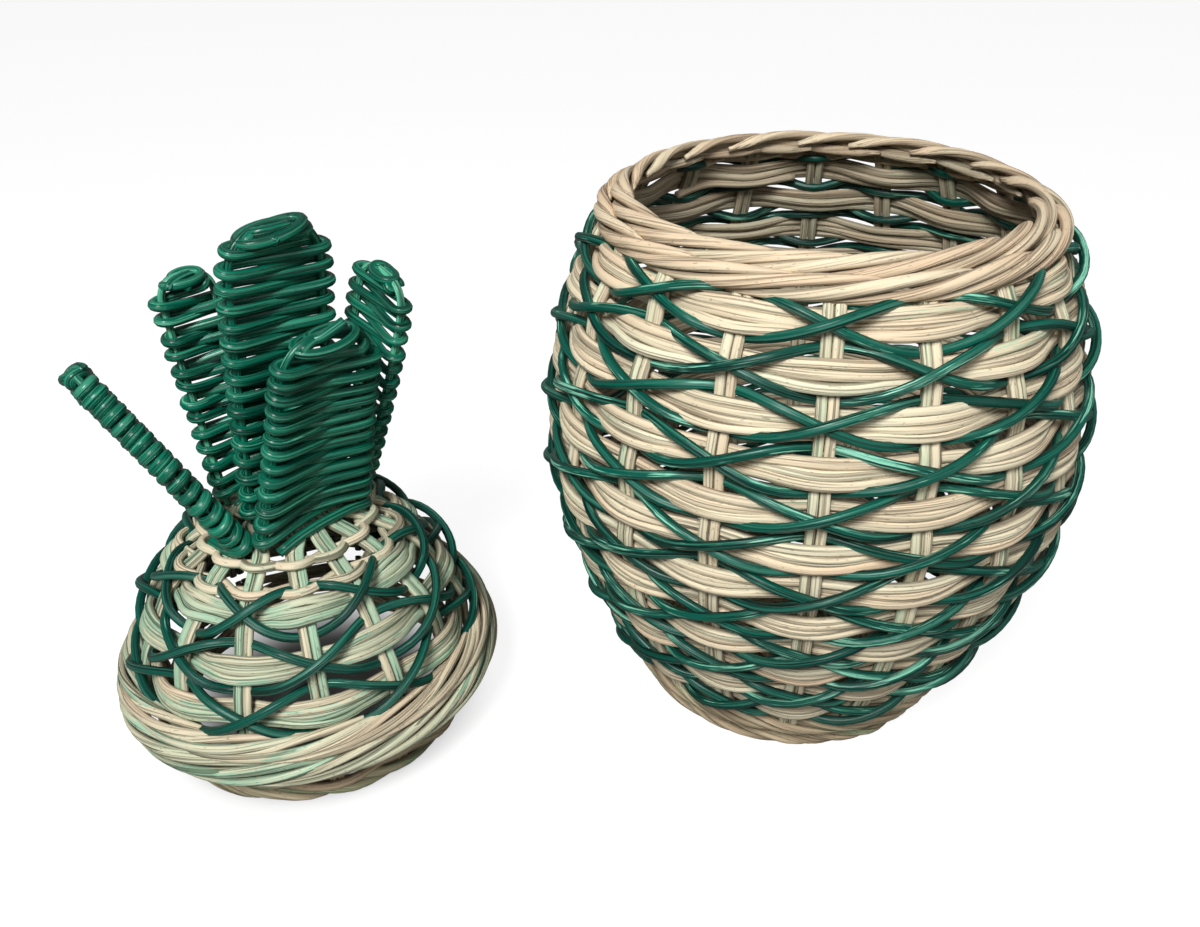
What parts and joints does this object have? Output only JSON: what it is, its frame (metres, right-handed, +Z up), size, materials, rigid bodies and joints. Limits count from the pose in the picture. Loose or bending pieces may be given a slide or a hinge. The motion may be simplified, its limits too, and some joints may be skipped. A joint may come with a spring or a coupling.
{
  "type": "lidded woven basket",
  "caption": "Barrel-shaped woven rattan basket with a twisted rim, and a domed lid with five upright wound leaves standing beside it.",
  "frame": {"origin": "middle of the flat underside of the basket", "axes": "+Z up out of the basket's mouth, +X from the lid towards the basket, +Y away from the picture's viewer"},
  "size_m": [0.3636, 0.1962, 0.1985],
  "materials": {
    "natural_reed": "dry peeled rattan, matt",
    "mint_reed": "peeled rattan with a thin green stain, matt",
    "green_strand": "round reed with a green lacquer, satin, worn in places",
    "leaf_reed": "round reed with a dark green lacquer, satin",
    "base_reed": "dry peeled rattan, matt"
  },
  "bodies": {
    "basket": {"basket_base": "base_reed", "basket_stake_01": "natural_reed", "basket_stake_02": "natural_reed", "basket_stake_03": "natural_reed", "basket_stake_04": "natural_reed", "basket_stake_05": "natural_reed", "basket_stake_06": "natural_reed", "basket_stake_07": "natural_reed", "basket_stake_08": "natural_reed", "basket_stake_09": "natural_reed", "basket_stake_10": "natural_reed", "basket_stake_11": "natural_reed", "basket_stake_12": "natural_reed", "basket_stake_13": "natural_reed", "basket_stake_14": "natural_reed", "basket_stake_15": "natural_reed", "basket_stake_16": "natural_reed", "basket_stake_17": "natural_reed", "basket_stake_18": "natural_reed", "basket_row_01": "natural_reed", "basket_row_02": "natural_reed", "basket_row_03": "natural_reed", "basket_row_04": "natural_reed", "basket_row_05": "natural_reed", "basket_row_06": "natural_reed", "basket_row_07": "natural_reed", "basket_row_08": "natural_reed", "basket_row_09": "natural_reed", "basket_row_10": "natural_reed", "basket_row_11": "natural_reed", "basket_row_12": "natural_reed", "basket_green_01": "green_strand", "basket_green_02": "green_strand", "basket_green_03": "green_strand", "basket_green_04": "green_strand", "basket_green_05": "green_strand", "basket_green_06": "green_strand", "basket_green_07": "green_strand", "basket_green_08": "green_strand", "basket_green_09": "green_strand", "basket_green_10": "green_strand", "basket_green_11": "green_strand", "basket_green_12": "green_strand", "rim_waling": "natural_reed", "rim_border": "natural_reed"},
    "lid": {"lid_crown_stakes": "mint_reed", "lid_row_1": "mint_reed", "lid_row_2": "mint_reed", "lid_row_3": "mint_reed", "lid_green_1": "green_strand", "lid_green_2": "green_strand", "lid_green_3": "green_strand", "crown_twining": "mint_reed", "brim_border": "mint_reed", "collar": "base_reed", "leaf_centre": "leaf_reed", "leaf_front": "leaf_reed", "leaf_back_left": "leaf_reed", "leaf_back_right": "leaf_reed", "leaf_left": "leaf_reed"}
  },
  "joints": [
    {"name": "lid_lift", "type": "slide", "parent": "basket", "child": "lid", "axis": [0, 0, 1], "range_m": [0, 0.25]}
  ]
}
